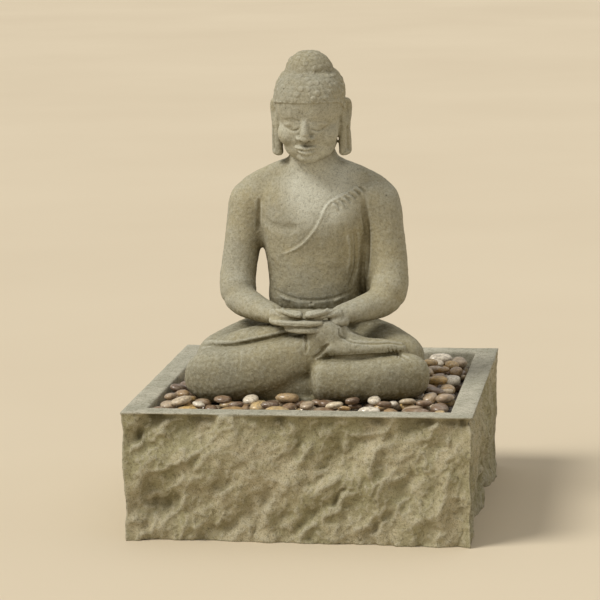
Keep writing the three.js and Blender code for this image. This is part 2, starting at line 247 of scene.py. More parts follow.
def rockStone():
    material = newMaterial("rockFaceStone")
    tone = {
        "tan": (0.57, 0.51, 0.345), "olive": (0.42, 0.385, 0.23), "dirtAndShade": (0.10, 0.08, 0.03),
        "pale": (0.56, 0.52, 0.39), "rim": (0.53, 0.505, 0.41), "rimDark": (0.39, 0.38, 0.30),
        "grain": (0.13, 0.112, 0.06),
    }
    space = objectSpace(material)
    base = mixed(material, ramp(material, cloud(material, space, 7, 6, 0.68, 0.6), [(0.42, 0.0), (0.58, 1.0)]),
                 tone["tan"], tone["olive"])
    # painted shade and dirt darken the hollows of the rock face and its undersides, with ragged edges
    ragged = spread(material, cloud(material, space, 30, 5, 0.7), 0.3, 0.7, -0.12, 0.12)
    hollowShade = maths(material, "ADD", painted(material, "hollowShade"), ragged)
    base = mixed(material, spread(material, hollowShade, 0.03, 0.42, 0, 0.8), base, tone["dirtAndShade"])
    # ridges painted paler: pale dust and a painted highlight
    base = mixed(material, spread(material, painted(material, "edge"), 0.53, 0.8, 0, 0.55), base, tone["pale"])
    rim = mixed(material, ramp(material, cloud(material, space, 16, 5, 0.65), [(0.35, 0.0), (0.65, 1.0)]),
                tone["rim"], tone["rimDark"])
    smooth = painted(material, "rim")
    base = mixed(material, smooth, base, rim)
    grit = cloud(material, space, 480, 3, 0.7)
    chips = cloud(material, space, 120, 6, 0.74, 0.4)
    base = mixed(material, ramp(material, grit, [(0.36, 0.55), (0.5, 0.0)]), base, tone["grain"])
    base = mixed(material, ramp(material, chips, [(0.36, 0.5), (0.48, 0.0)]), base, tone["grain"])
    base = mixed(material, ramp(material, chips, [(0.54, 0.0), (0.72, 0.45)]), base, tone["pale"])
    height = maths(material, "ADD", maths(material, "MULTIPLY", grit, 0.35), chips)
    strength = spread(material, smooth, 0, 1, 0.95, 0.3)
    surface(material, colour=base, roughness=0.93, specular=0.15, normal=bump(material, height, 0.0035, strength))
    return material


def pebbleStone(name, wet=0.26):
    material = newMaterial(name)
    stops = [
        (0.00, (0.14, 0.085, 0.055)), (0.12, (0.32, 0.205, 0.115)), (0.23, (0.19, 0.13, 0.09)),
        (0.34, (0.52, 0.35, 0.175)), (0.44, (0.68, 0.45, 0.14)), (0.54, (0.37, 0.245, 0.145)),
        (0.64, (0.72, 0.53, 0.25)), (0.74, (0.43, 0.32, 0.21)), (0.85, (0.82, 0.69, 0.48)),
        (0.96, (0.88, 0.80, 0.65)),
    ]
    space = objectSpace(material)
    own = painted(material, "tone")
    base = ramp(material, own, stops)
    flecks = cloud(material, space, 160, 4, 0.65)
    base = mixed(material, ramp(material, flecks, [(0.40, 0.45), (0.56, 0.0)]), base, (0.09, 0.05, 0.03))
    veins = objectSpace(material, (1, 1, 2.2), (0.5, 0.4, 0.9))
    bands = cloud(material, veins, 42, 3, 0.5, 1.2)
    base = mixed(material, ramp(material, bands, [(0.5, 0.0), (0.56, 0.4), (0.62, 0.0)]), base, (0.55, 0.48, 0.38))
    damp = spread(material, cloud(material, space, 12, 2), 0.3, 0.7, 0.2, 0.45)
    surface(material, colour=base, roughness=damp, coat=wet, coatRoughness=0.12,
            normal=bump(material, cloud(material, space, 300, 3, 0.6), 0.0004, 0.5))
    return material


def bedStone():
    material = newMaterial("gravelBed")
    space = objectSpace(material)
    grain = cells(material, space, 60, "Color")
    shade = node(material, "ShaderNodeSeparateColor", {"Color": grain}).outputs[0]
    base = ramp(material, shade, [(0.0, (0.05, 0.035, 0.028)), (0.5, (0.09, 0.065, 0.045)), (0.95, (0.14, 0.12, 0.1))])
    height = cells(material, space, 60)
    surface(material, colour=base, roughness=0.4, coat=0.3, coatRoughness=0.2,
            normal=bump(material, maths(material, "SUBTRACT", 1.0, height), 0.006, 0.9))
    return material


def pierConcrete():
    material = newMaterial("pierConcrete")
    space = objectSpace(material)
    base = ramp(material, cloud(material, space, 14, 5), [(0.3, (0.20, 0.195, 0.17)), (0.7, (0.33, 0.32, 0.285))])
    holes = ramp(material, cells(material, space, 110), [(0.06, 1.0), (0.18, 0.0)])
    base = mixed(material, maths(material, "MULTIPLY", holes, 0.6), base, (0.07, 0.065, 0.055))
    height = maths(material, "SUBTRACT", cloud(material, space, 260, 3), holes)
    surface(material, colour=base, roughness=0.95, specular=0.15, normal=bump(material, height, 0.0015, 0.8))
    return material


def castMetal():
    material = newMaterial("grateMetal")
    space = objectSpace(material)
    dull = cloud(material, space, 35, 4)
    base = ramp(material, dull, [(0.35, (0.30, 0.31, 0.31)), (0.65, (0.47, 0.475, 0.47))])
    rough = spread(material, dull, 0.3, 0.7, 0.42, 0.66)
    surface(material, colour=base, metallic=0.85, roughness=rough,
            normal=bump(material, cloud(material, space, 420, 3), 0.0005, 0.6))
    return material


def mouldedPlastic(name, colour, worn, roughness=0.45):
    material = newMaterial(name)
    space = objectSpace(material)
    base = mixed(material, ramp(material, cloud(material, space, 45, 4), [(0.45, 0.0), (0.75, 1.0)]), colour, worn)
    rough = spread(material, cloud(material, space, 90, 3), 0.3, 0.7, roughness - 0.08, roughness + 0.12)
    surface(material, colour=base, roughness=rough,
            normal=bump(material, cloud(material, space, 1500, 2), 0.0002, 0.5))
    return material


def rubber():
    material = newMaterial("blackRubber")
    space = objectSpace(material)
    chalk = cloud(material, space, 60, 5, 0.65)
    base = ramp(material, chalk, [(0.4, (0.012, 0.012, 0.012)), (0.8, (0.045, 0.043, 0.04))])
    surface(material, colour=base, roughness=spread(material, chalk, 0.3, 0.7, 0.65, 0.85),
            normal=bump(material, cloud(material, space, 900, 2), 0.0002, 0.6))
    return material


# Mesh helpers

def objectFrom(name, bm):
    mesh = bpy.data.meshes.new(name)
    bm.to_mesh(mesh)
    bm.free()
    made = bpy.data.objects.new(name, mesh)
    scene.collection.objects.link(made)
    return made


def finishPiece(piece, material, replaced=(), rides=body, smooth=True):
    piece.data.materials.clear()
    piece.data.materials.append(material)
    piece.data.polygons.foreach_set("use_smooth", [smooth] * len(piece.data.polygons))
    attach(piece, rides)
    if replaced:
        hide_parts(*replaced)
    print(piece.name, len(piece.data.polygons), "faces")


def pointsOf(piece, kind="co"):
    values = np.empty(len(piece.data.vertices) * 3)
    piece.data.vertices.foreach_get(kind, values)
    return values.reshape(-1, 3)


def movePoints(piece, points):
    piece.data.vertices.foreach_set("co", points.ravel())
    piece.data.update()


def paint(piece, name, values):
    layer = piece.data.attributes.new(name, "FLOAT", "POINT")
    layer.data.foreach_set("value", np.asarray(values, np.float32))


def applyModifiers(piece):
    bpy.context.view_layer.update()
    graph = bpy.context.evaluated_depsgraph_get()
    old = piece.data
    piece.data = bpy.data.meshes.new_from_object(piece.evaluated_get(graph))
    piece.modifiers.clear()
    bpy.data.meshes.remove(old)


def fuse(piece, voxel):
    remesh = piece.modifiers.new("fuse", "REMESH")
    remesh.mode = "VOXEL"
    remesh.voxel_size = voxel
    applyModifiers(piece)


def edgesOf(piece):
    pairs = np.empty(len(piece.data.edges) * 2, np.int64)
    piece.data.edges.foreach_get("vertices", pairs)
    return pairs.reshape(-1, 2)


def neighbourMean(values, pairs, count):
    total = np.zeros((count, values.shape[1]))
    for axis in range(values.shape[1]):
        total[:, axis] = np.bincount(pairs[:, 0], values[pairs[:, 1], axis], count)
        total[:, axis] += np.bincount(pairs[:, 1], values[pairs[:, 0], axis], count)
    shared = np.bincount(pairs.ravel(), minlength=count)
    return total / shared[:, None]


def relax(piece, rounds, step=0.5, back=0.0, above=-1.0):
    points, pairs = pointsOf(piece), edgesOf(piece)
    share = step * np.clip((points[:, 2:] - above) / 0.02, 0, 1)
    for _ in range(rounds):
        points += share * (neighbourMean(points, pairs, len(points)) - points)
        if back:
            points -= back * (neighbourMean(points, pairs, len(points)) - points)
    movePoints(piece, points)


def treeOf(*pieces):
    points, faces, start = [], [], 0
    for piece in pieces:
        own = pointsOf(piece)
        points.extend(own.tolist())
        faces.extend([[start + v for v in face.vertices] for face in piece.data.polygons])
        start += len(own)
    return BVHTree.FromPolygons(points, faces)


def shadeSurface(piece, tree, reach=0.09, under=0.3):
    # hollowShade: how much of the sky near a point is shut off by stone, painted into the colour as shade, with
    # down-facing surfaces (under) shaded more; edge: 0.5 on the flat, more on ridges
    points, normals, pairs = pointsOf(piece), pointsOf(piece, "normal"), edgesOf(piece)
    golden = math.pi * (3 - math.sqrt(5))
    directions = []
    for i in range(22):
        z = 1 - 2 * (i + 0.5) / 22
        flat = math.sqrt(1 - z * z)
        directions.append(Vector((flat * math.cos(golden * i), flat * math.sin(golden * i), z)))
    facing = normals @ np.array(directions).T
    shut, weight = np.zeros(len(points)), np.zeros(len(points))
    starts = [Vector(p) for p in points + normals * 0.0012]
    for k, direction in enumerate(directions):
        for i in np.nonzero(facing[:, k] > 0.25)[0]:
            share = facing[i, k]
            weight[i] += share
            distance = tree.ray_cast(starts[i], direction, reach)[3]
            if distance is not None:
                shut[i] += share * (1 - distance / reach)
    hollowShade = (shut / np.maximum(weight, 1e-6))[:, None]
    for _ in range(3):
        hollowShade = 0.5 * hollowShade + 0.5 * neighbourMean(hollowShade, pairs, len(points))
    # painted shade: hollows and down-facing surfaces get a darkening value that the materials mix into the colour
    paint(piece, "hollowShade", hollowShade[:, 0] + under * np.clip(0.15 - normals[:, 2], 0, 1))
    smoothPoints = points.copy()
    for _ in range(4):
        smoothPoints = neighbourMean(smoothPoints, pairs, len(points))
    proud = np.einsum("ij,ij->i", points - smoothPoints, normals)
    paint(piece, "edge", np.clip(0.5 + proud / 0.002, 0, 1))


def roughen(points, normals, scales, seed=0.0):
    # adds weathered unevenness: each scale is (size of the swell, height of it)
    moved = points.copy()
    for size, height in scales:
        swell = [noise.noise(Vector((p[0] / size + seed, p[1] / size, p[2] / size))) for p in points.tolist()]
        moved += normals * (np.array(swell) * height)[:, None]
    return moved


def smoothRoute(stops, count):
    stops = np.array(stops, float)
    padded = np.vstack([2 * stops[0] - stops[1], stops, 2 * stops[-1] - stops[-2]])
    at = np.linspace(0, len(stops) - 1 - 1e-9, count)
    k = at.astype(int)
    t = (at - k)[:, None]
    a, b, c, d = padded[k], padded[k + 1], padded[k + 2], padded[k + 3]
    return 0.5 * (2 * b + (c - a) * t + (2 * a - 5 * b + 4 * c - d) * t**2 + (3 * b - a - 3 * c + d) * t**3)


def ball(bm, centre, radii, turn=(0, 0, 0), power=2):
    # a power above 2 gives a squarer ball
    place = Matrix.Translation(Vector(centre) * mm) @ Euler([math.radians(a) for a in turn]).to_matrix().to_4x4()
    made = bmesh.ops.create_uvsphere(bm, u_segments=32, v_segments=20, radius=1)["verts"]
    for vert in made:
        size = sum(abs(c) ** power for c in vert.co) ** (1 / power)
        vert.co = place @ Vector([c / size * r * mm for c, r in zip(vert.co, radii)])


def limb(bm, stops, reference=(0, 0, 1), mirrored=False, blunt=1.0, power=2):
    # a rounded limb along a smooth route: each stop is x, y, z and the half-widths across and deep, in mm;
    # blunt below 1 gives flatter ends, a power above 2 a squarer section
    stops = np.array(stops, float)
    if mirrored:
        stops[:, 0] *= -1
    fine = smoothRoute(stops, 60)
    steps = np.linalg.norm(np.diff(fine[:, :3], axis=0), axis=1)
    reached = np.concatenate([[0], steps.cumsum()])
    tangents = np.gradient(fine[:, :3], axis=0)
    made = bmesh.ops.create_uvsphere(bm, u_segments=24, v_segments=34, radius=1)["verts"]
    for vert in made:
        along = (0.5 - 0.5 * vert.co.z) * reached[-1]
        values = [np.interp(along, reached, column) for column in fine.T]
        tangent = Vector([np.interp(along, reached, column) for column in tangents.T]).normalized()
        side = tangent.cross(Vector(reference)).normalized()
        deep = side.cross(tangent)
        fromEnd = min(along, reached[-1] - along)
        rounding = math.sqrt(max(0.0, 1 - max(0.0, 1 - fromEnd / (values[4] * blunt)) ** 2))
        around = Vector((vert.co.x, vert.co.y)).normalized() if abs(vert.co.z) < 0.9999 else Vector((0, 0))
        around /= max(0.1, abs(around.x) ** power + abs(around.y) ** power) ** (1 / power)
        point = Vector(values[:3]) + rounding * (side * around.x * values[3] + deep * around.y * values[4])
        vert.co = point * mm


# Carving: a route of (x, z) marks is laid on the surface as seen from the front, or from the back

def layRoute(tree, route, fromBack=False):
    marks = smoothRoute(route, max(8, 6 * len(route))) * mm
    side = 1 if fromBack else -1
    line = []
    for x, z in marks:
        hit = tree.ray_cast(Vector((x, side * 1.0, z)), Vector((0, -side, 0)))[0]
        if hit:
            line.append(hit)
    return np.array(line)


def nearLine(points, line):
    # distance to the line, share of the way along it, and the side in the front view
    best = np.full(len(points), 1e9)
    along, side = np.zeros(len(points)), np.zeros(len(points))
    for k in range(len(line) - 1):
        start, step = line[k], line[k + 1] - line[k]
        t = np.clip(((points - start) @ step) / max(step @ step, 1e-12), 0, 1)
        away = points - start - t[:, None] * step
        distance = np.linalg.norm(away, axis=1)
        closer = distance < best
        best = np.where(closer, distance, best)
        along = np.where(closer, (k + t) / (len(line) - 1), along)
        turn = step[0] * away[:, 2] - step[2] * away[:, 0]
        side = np.where(closer, np.sign(turn), side)
    return best, along, side


def carve(piece, strokes):
    # each stroke is (route, half width, height): below zero cuts a groove, above zero raises a ridge
    points, normals = pointsOf(piece), pointsOf(piece, "normal")
    tree = treeOf(piece)
    height = np.zeros(len(points))
    for stroke in strokes:
        line = layRoute(tree, stroke["route"], stroke.get("back", False))
        if len(line) < 2:
            continue
        width = stroke["width"] * mm
        reach = 3 * width
        low, high = line.min(0) - reach, line.max(0) + reach
        near = np.nonzero(((points > low) & (points < high)).all(axis=1))[0]
        distance, along, side = nearLine(points[near], line)
        ends = np.clip(np.minimum(along, 1 - along) * stroke.get("taper", 6), 0, 1) ** 0.7
        profile = np.exp(-((distance / width) ** 2))
        if stroke.get("step"):
            profile = np.clip(0.5 + 0.5 * side * distance / width, 0, 1) * np.exp(-distance / (stroke["step"] * mm))
        height[near] += stroke["height"] * mm * profile * ends
    movePoints(piece, points + normals * height[:, None])



# Basin: rings of a square are drawn up the rock face, over the rim and down to the floor

basinStone = {
    "perSide": 216, "rockRows": 80, "topEdge": 0.2265, "bulge": 0.0145, "taper": 0.003, "proud": 0.007,
    "scoops": [(0.14, 0.068, 0.0165, 64, 0), (0.07, 0.036, 0.0125, 36, 7), (0.028, 0.015, 0.0055, 58, 3)],
    "swell": 0.007, "grit": 0.0031, "wear": 12,
    "holeRadius": 0.014, "recessRadius": 0.026, "recessDepth": 0.022,
}


def cleft(x, y, z):
    # how far the split face stands back at a place: overlapping scoops leave slanting ridges between them
    along, across = x + y, x - y
    swell = noise.noise(Vector((along / 0.17, z / 0.13, across / 0.5)))
    total = (0.5 - 0.5 * swell) * basinStone["swell"]
    for long, wide, depth, lean, shift in basinStone["scoops"]:
        lean = math.radians(lean)
        warp = noise.noise_vector(Vector((along, z, across * 0.2)) / (0.7 * long) + Vector((shift, 0, 0))) * 0.42
        a = (along * math.cos(lean) + z * math.sin(lean)) / long + warp.x + shift
        b = (-along * math.sin(lean) + z * math.cos(lean)) / wide + warp.y * long / wide
        spot = Vector((a, b, across * 0.3 / long + shift))
        distances, centres = noise.voronoi(spot)
        share = 9
        for distance, centre in zip(distances, centres):
            tilt = noise.cell_vector(centre * 13.7) - Vector((0.5, 0.5, 0.5))
            own = distance**2 + (spot - centre).dot(tilt) * 1.0 + 0.38 * noise.cell(centre * 7.1)
            share = min(share, own)
        patch = 1 if long > 0.1 else 0.25 + 1.9 * max(0, noise.noise(spot * 0.45 + Vector((3.1, shift, 0))) + 0.15)
        total += depth * patch * (0.9 - min(1.3, share))
    grain = noise.fractal(Vector((along, z, across * 0.5)) / 0.02, 0.75, 2.2, 4)
    return total + basinStone["grit"] * grain


def ringAt(bm, edges, factor, z):
    made = bmesh.ops.extrude_edge_only(bm, edges=edges)["geom"]
    verts = {item for item in made if isinstance(item, bmesh.types.BMVert)}
    for vert in verts:
        vert.co = Vector((vert.co.x * factor, vert.co.y * factor, z))
    return [item for item in made if isinstance(item, bmesh.types.BMEdge) and set(item.verts) <= verts]


def makeBasin():
    low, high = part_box("basin")
    half, top, stone = high.x, high.z, basinStone
    wall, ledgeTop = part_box("pebble_bed")[1].x + 0.0003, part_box("grate_left")[0].z - 0.0003
    bm = bmesh.new()
    quarter = Matrix.Rotation(math.pi / 4, 4, "Z")
    bmesh.ops.create_circle(bm, segments=4, radius=half * math.sqrt(2), matrix=quarter)
    bmesh.ops.subdivide_edges(bm, edges=bm.edges[:], cuts=stone["perSide"] - 1)
    ring = bottomRing = bm.edges[:]
    for row in range(1, stone["rockRows"] + 1):
        ring = ringAt(bm, ring, 1, stone["topEdge"] * row / stone["rockRows"])
    inner, lower, floor = wall / half, (wall - 0.012) / half, 0.04
    profile = [(0.9995, top - 0.0022), (0.998, top - 0.0008), (0.9945, top), (0.97, top), (0.94, top), (0.91, top),
               (0.885, top), (inner + 0.012, top), (inner + 0.005, top - 0.0008), (inner + 0.001, top - 0.0028),
               (inner, top - 0.006), (inner, top - 0.03), (inner, ledgeTop + 0.002), (inner, ledgeTop),
               (lower, ledgeTop), (lower, ledgeTop - 0.003), (lower, ledgeTop - 0.05), (lower, floor + 0.004),
               (lower - 0.012, floor)]
    reached = 1
    for share, z in profile:
        ring = ringAt(bm, ring, share / reached, z)
        reached = share
    bmesh.ops.contextual_create(bm, geom=ring)
    bmesh.ops.contextual_create(bm, geom=bottomRing)
    bmesh.ops.recalc_face_normals(bm, faces=bm.faces[:])
    piece = objectFrom("basinCasting", bm)

    points = pointsOf(piece)
    rimShare = np.zeros(len(points))
    for i, (x, y, z) in enumerate(points.tolist()):
        reach = max(abs(x), abs(y))
        out = Vector((math.copysign((abs(x) / reach) ** 30, x), math.copysign((abs(y) / reach) ** 30, y), 0)).normalized()
        if reach > half * 0.99 and z < top - 0.001:
            chip = 0.5 + 0.5 * noise.noise(Vector((x, y, 0)) / 0.03)
            start = 0.001 + 0.003 * chip
            under = min(1, max(0, (top - z - start) / 0.005))
            corner = max(0, 1 - (half - min(abs(x), abs(y))) / 0.035)
            depth = (cleft(x, y, z) - stone["bulge"]) * under ** 0.8 * (1 - 0.6 * corner)
            depth += stone["taper"] * (1 - z / top) + 0.0012 * chip * (1 - under)
            soft = 0.002
            depth += stone["proud"]
            depth = soft * math.log(1 + math.exp(min(30, depth / soft))) - stone["proud"]
            points[i] -= np.array(out) * depth
            rimShare[i] = max(0, 1 - under * 1.8)
        else:
            rimShare[i] = 1
            if z > top - 0.004:
                points[i, 2] += 0.0007 * noise.noise(Vector((x, y, z)) / 0.05)
                points[i, 2] += 0.0004 * noise.noise(Vector((x, y, z)) / 0.009)
    # sharp steps between facets are worn down where the mesh could not carry them
    pairs = edgesOf(piece)
    for _ in range(stone["wear"]):
        pull = neighbourMean(points, pairs, len(points)) - points
        share = np.clip(np.linalg.norm(pull, axis=1) / 0.0015 - 1, 0, 1) * (rimShare < 0.3)
        points += 0.8 * share[:, None] * pull
    points[:, 2] = np.maximum(points[:, 2], 0)
    movePoints(piece, points)
    paint(piece, "rim", rimShare)

    cordX, cordZ = [(a + b) / 2 for a, b in zip(*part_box("cord_grommet"))][::2]
    # a stepped plug, drawn up ring by ring, cuts the hole and the recess round it
    cutter = bmesh.new()
    start, step, stop = 0.22, half - stone["recessDepth"], 0.34
    bmesh.ops.create_circle(cutter, segments=48, radius=stone["holeRadius"])
    ring = startRing = cutter.edges[:]
    for factor, along in ((1, step), (stone["recessRadius"] / stone["holeRadius"], step), (1, stop)):
        ring = ringAt(cutter, ring, factor, along - start)
    bmesh.ops.contextual_create(cutter, geom=ring)
    bmesh.ops.contextual_create(cutter, geom=startRing)
    bmesh.ops.recalc_face_normals(cutter, faces=cutter.faces[:])
    place = Matrix.Translation((cordX, start, cordZ)) @ Matrix.Rotation(-math.pi / 2, 4, "X")
    bmesh.ops.transform(cutter, matrix=place, verts=cutter.verts[:])
    tool = objectFrom("holeCutter", cutter)
    cut = piece.modifiers.new("hole", "BOOLEAN")
    cut.object = tool
    cut.solver = "FAST"
    applyModifiers(piece)
    bpy.data.objects.remove(tool)
    shadeSurface(piece, treeOf(piece), 0.035, 0.15)
    finishPiece(piece, rockStone(), ["basin"])
    return piece


# Figure: rounded limbs are fused into one skin, relaxed like clay, then carved. Sizes are in mm from the
# middle of the figure's underside; x is positive to the figure's left.

figureAt = Vector((-0.004, (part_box("pier_cap")[0].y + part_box("pier_cap")[1].y) / 2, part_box("seated_figure")[0].z))

legsClay = {
    "voxel": 0.0024, "relax": 12,
    "rightThigh": [[-40, 62, 78, 66, 62], [-110, 22, 80, 62, 50], [-165, -34, 66, 52, 42], [-196, -66, 60, 36, 34]],
    "leftThigh": [[40, 62, 78, 66, 62], [104, 24, 78, 60, 50], [160, -30, 66, 50, 44], [186, -60, 60, 38, 38]],
    "rightShin": [[-208, -60, 46, 34, 40], [-190, -78, 43, 42, 46], [-146, -94, 48, 44, 48], [-80, -102, 61, 40, 45],
                  [-24, -98, 79, 32, 40], [20, -92, 98, 27, 30], [44, -88, 106, 24, 24]],
    "leftShin": [[198, -54, 46, 36, 36], [178, -74, 46, 42, 39], [124, -94, 44, 44, 39], [62, -102, 43, 44, 38],
                 [8, -104, 42, 42, 37]],
    "rightHeel": [[6, -98, 106, 20, 22], [34, -108, 127, 13, 24], [64, -100, 110, 22, 24]],
    "rightFoot": [[30, -98, 110, 24, 24], [70, -98, 100, 26, 19], [112, -86, 98, 26, 16], [146, -70, 96, 22, 13],
                  [172, -56, 91, 16, 10]],
    "underShin": [[-186, -60, 30, 36, 32], [-120, -76, 28, 42, 30], [-40, -84, 30, 40, 32], [30, -84, 26, 32, 28]],
    "thighFold": [[-172, -50, 88, 28, 16], [-120, -58, 104, 30, 19], [-60, -62, 118, 28, 18], [-12, -64, 126, 18, 14]],
    "wristCloth": [[58, -84, 142, 9, 14], [66, -90, 126, 10, 11], [84, -88, 115, 12, 8], [112, -76, 107, 10, 5]],
}
legsCarving = [
    {"route": [(-206, 88), (-170, 96), (-130, 100), (-78, 111), (-24, 124), (2, 127)], "width": 2.2, "height": -4.5},
    {"route": [(-206, 93), (-170, 101), (-130, 105), (-78, 116), (-24, 129)], "width": 3.0, "height": 1.6},
    {"route": [(-115, 97), (-113, 86), (-114, 72), (-116, 60)], "width": 1.4, "height": -0.9},
    {"route": [(-111, 97), (-109, 86), (-110, 72), (-112, 60)], "width": 1.6, "height": 0.25},
    {"route": [(0, 127), (3, 116), (5, 104), (3, 94)], "width": 1.7, "height": -3.4},
    {"route": [(16, 84), (28, 92), (38, 104), (46, 110)], "width": 2.6, "height": -4.0},
    {"route": [(22, 80), (60, 86), (110, 88), (160, 86), (186, 78)], "width": 2.6, "height": -3.5},
    {"route": [(64, 122), (84, 113), (112, 109), (150, 106), (176, 98)], "width": 2.2, "height": -3.2},
    {"route": [(62, 136), (64, 124), (74, 116)], "width": 1.6, "height": -2.6},
]
toes = {"count": 4, "first": (146, 100), "step": (6.5, -2.6), "drop": (3, -13), "width": 1.1, "height": -2.2}


def makeLegs():
    clay, bm = legsClay, bmesh.new()
    ball(bm, (0, 46, 72), (124, 82, 78))
    ball(bm, (0, -30, 84), (104, 76, 44))
    ball(bm, (0, 36, 128), (97, 68, 44))
    for name in ("rightThigh", "leftThigh", "rightHeel", "rightFoot", "thighFold", "wristCloth"):
        limb(bm, clay[name])
    for name, blunt in (("rightShin", 1), ("leftShin", 0.62), ("underShin", 1)):
        limb(bm, clay[name], blunt=blunt, power=2.6)
    plinth = Matrix.Translation((-0.004, -0.002, 0.007)) @ Matrix.Diagonal((0.205, 0.122, 0.014, 1))
    bmesh.ops.create_cone(bm, cap_ends=True, segments=96, radius1=1, radius2=0.985, depth=1, matrix=plinth)
    piece = objectFrom("figureLegs", bm)
    fuse(piece, clay["voxel"])
    relax(piece, clay["relax"], 0.5, 0.12)
    strokes = [dict(stroke) for stroke in legsCarving]
    for i in range(toes["count"]):
        x, z = toes["first"][0] + toes["step"][0] * i, toes["first"][1] + toes["step"][1] * i
        strokes.append({"route": [(x, z), (x + toes["drop"][0], z + toes["drop"][1])],
                        "width": toes["width"], "height": toes["height"]})
    carve(piece, strokes)
    points = pointsOf(piece)
    points = roughen(points, pointsOf(piece, "normal"), [(0.034, 0.0011), (0.011, 0.00055), (0.005, 0.00035)])
    points[:, 2] = np.maximum(points[:, 2], 0)
    movePoints(piece, points)
    return piece


torsoClay = {
    "voxel": 0.0024, "relax": 8, "bodyRelax": 34, "handsTop": 172,
    "trunk": [[0, 40, 112, 100, 66], [0, 40, 150, 90, 62], [0, 38, 200, 86, 62], [0, 36, 250, 92, 63],
              [0, 34, 310, 106, 66], [0, 34, 356, 110, 58], [0, 32, 388, 84, 46], [0, 28, 412, 50, 40],
              [0, 22, 440, 41, 39],
              [0, 20, 470, 37, 35]],
    "trapezius": [[10, 30, 404, 28, 30], [58, 34, 388, 26, 28], [100, 38, 369, 28, 28], [134, 38, 348, 26, 26]],
    "upperArm": [[102, 38, 380, 26, 26], [114, 36, 348, 40, 38], [125, 34, 296, 37, 35], [136, 26, 236, 33, 32],
                 [139, 8, 190, 33, 32], [134, -6, 168, 22, 22]],
    "foreArm": [[146, 14, 184, 26, 26], [130, -10, 170, 29, 28], [97, -44, 160, 26, 24], [64, -70, 154, 22, 18],
                [44, -82, 151, 19, 14]],
    "drape": [[104, 44, 150, 14, 26], [103, 44, 210, 15, 34], [108, 42, 280, 14, 38], [112, 38, 330, 12, 34]],
    "thumb": [[62, -88, 158, 10, 9], [40, -104, 161, 9, 8], [20, -113, 161, 8.5, 7.5], [3.5, -115, 159, 8, 7]],
    "rightFingers": [[-60, -88, 147, 15, 10], [-34, -106, 145.5, 17, 7.5], [4, -112, 145.5, 16, 7],
                     [34, -107, 146, 12, 5.5]],
    "leftFingers": [[52, -88, 137, 16, 9], [18, -106, 133, 17, 6.5], [-12, -108, 132.5, 16, 6.5],
                    [-34, -100, 133, 11, 5]],
    "leftPalm": [[70, -74, 146, 18, 13], [50, -92, 144, 18, 12], [38, -98, 143, 12, 9]],
}
torsoCarving = [
    # the hem of the robe from the left shoulder down across the chest, with the cloth standing a little proud
    {"route": [(84, 374), (70, 364), (50, 354), (36, 346), (27, 334), (20, 318), (12, 303), (2, 289),
               (-8, 278), (-26, 264), (-56, 251)], "width": 1.7, "height": 2.4, "taper": 12},
    {"route": [(84, 371), (70, 361), (50, 350), (38, 342), (30, 331), (23, 316), (15, 300), (4, 285),
               (-6, 274), (-25, 260), (-50, 249)], "width": 7, "height": 1.3},
    {"route": [(80, 378), (66, 368), (48, 358), (33, 349), (24, 336), (17, 320), (9, 305), (-1, 292),
               (-11, 281), (-28, 268), (-52, 257)], "width": 2.4, "height": -1.0},
    # lines of the collar bones, breast and belly
    {"route": [(-92, 322), (-70, 306), (-44, 300), (-20, 304)], "width": 8, "height": -2.6},
    {"route": [(-60, 176), (-30, 164), (0, 160), (30, 164), (60, 176)], "width": 2.4, "height": 3.0},
    {"route": [(-62, 170), (-30, 157), (0, 153), (30, 157), (62, 170)], "width": 2.0, "height": -2.6},
    {"route": [(-74, 186), (-40, 174), (0, 170), (40, 174), (74, 186)], "width": 2.2, "height": -1.8},
    {"route": [(-14, 402), (6, 395), (30, 404)], "width": 2.2, "height": -1.2},
    # the same hem and a few soft folds down the back, and the line of the spine above it
    {"route": [(80, 378), (62, 352), (26, 318), (-24, 282), (-64, 252), (-88, 226)], "width": 2.2, "height": 4.2,
     "taper": 8, "back": True},
    {"route": [(84, 368), (66, 342), (30, 306), (-20, 270), (-60, 240)], "width": 7, "height": 1.0, "back": True},
    {"route": [(88, 330), (62, 296), (18, 258), (-30, 226)], "width": 4.0, "height": -2.6, "back": True},
    {"route": [(84, 286), (52, 252), (8, 220), (-34, 198)], "width": 4.0, "height": -2.6, "back": True},
    {"route": [(-4, 388), (-3, 350), (-2, 316)], "width": 7, "height": -1.6, "back": True},
    {"route": [(-40, 366), (-46, 340), (-40, 312)], "width": 8, "height": 1.4, "back": True},
    # between the arms and the chest
    {"route": [(-94, 352), (-97, 320), (-100, 290)], "width": 3.0, "height": -4.5},
    {"route": [(92, 356), (96, 320), (99, 290), (98, 250), (95, 205)], "width": 4.5, "height": -6.0},
    {"route": [(78, 300), (80, 260), (76, 220), (66, 190)], "width": 4.5, "height": -3.2},
    {"route": [(66, 290), (68, 250), (62, 215)], "width": 4.0, "height": 2.4},
    # thumbs and fingers
    {"route": [(0.5, 168), (0, 160), (0.5, 152)], "width": 1.2, "height": -3.4},
    {"route": [(-56, 152), (-30, 152.5), (4, 152.5), (34, 152), (48, 152)], "width": 1.5, "height": -3.0},
    {"route": [(-40, 139), (-14, 139), (16, 139.5), (44, 141)], "width": 1.5, "height": -3.0},
    {"route": [(-52, 145), (-26, 145.5), (8, 145.5)], "width": 1.0, "height": -1.3},
    {"route": [(-22, 132.5), (6, 132.5), (30, 133.5)], "width": 1.0, "height": -1.2},
    {"route": [(36, 150), (40, 145), (38, 140)], "width": 1.1, "height": -1.6},
]
gathers = [((40, 345), (50, 331)), ((48, 350), (60, 336)), ((55, 355), (69, 341)), ((63, 360), (78, 346)),
           ((71, 365), (86, 352)), ((79, 370), (93, 358))]


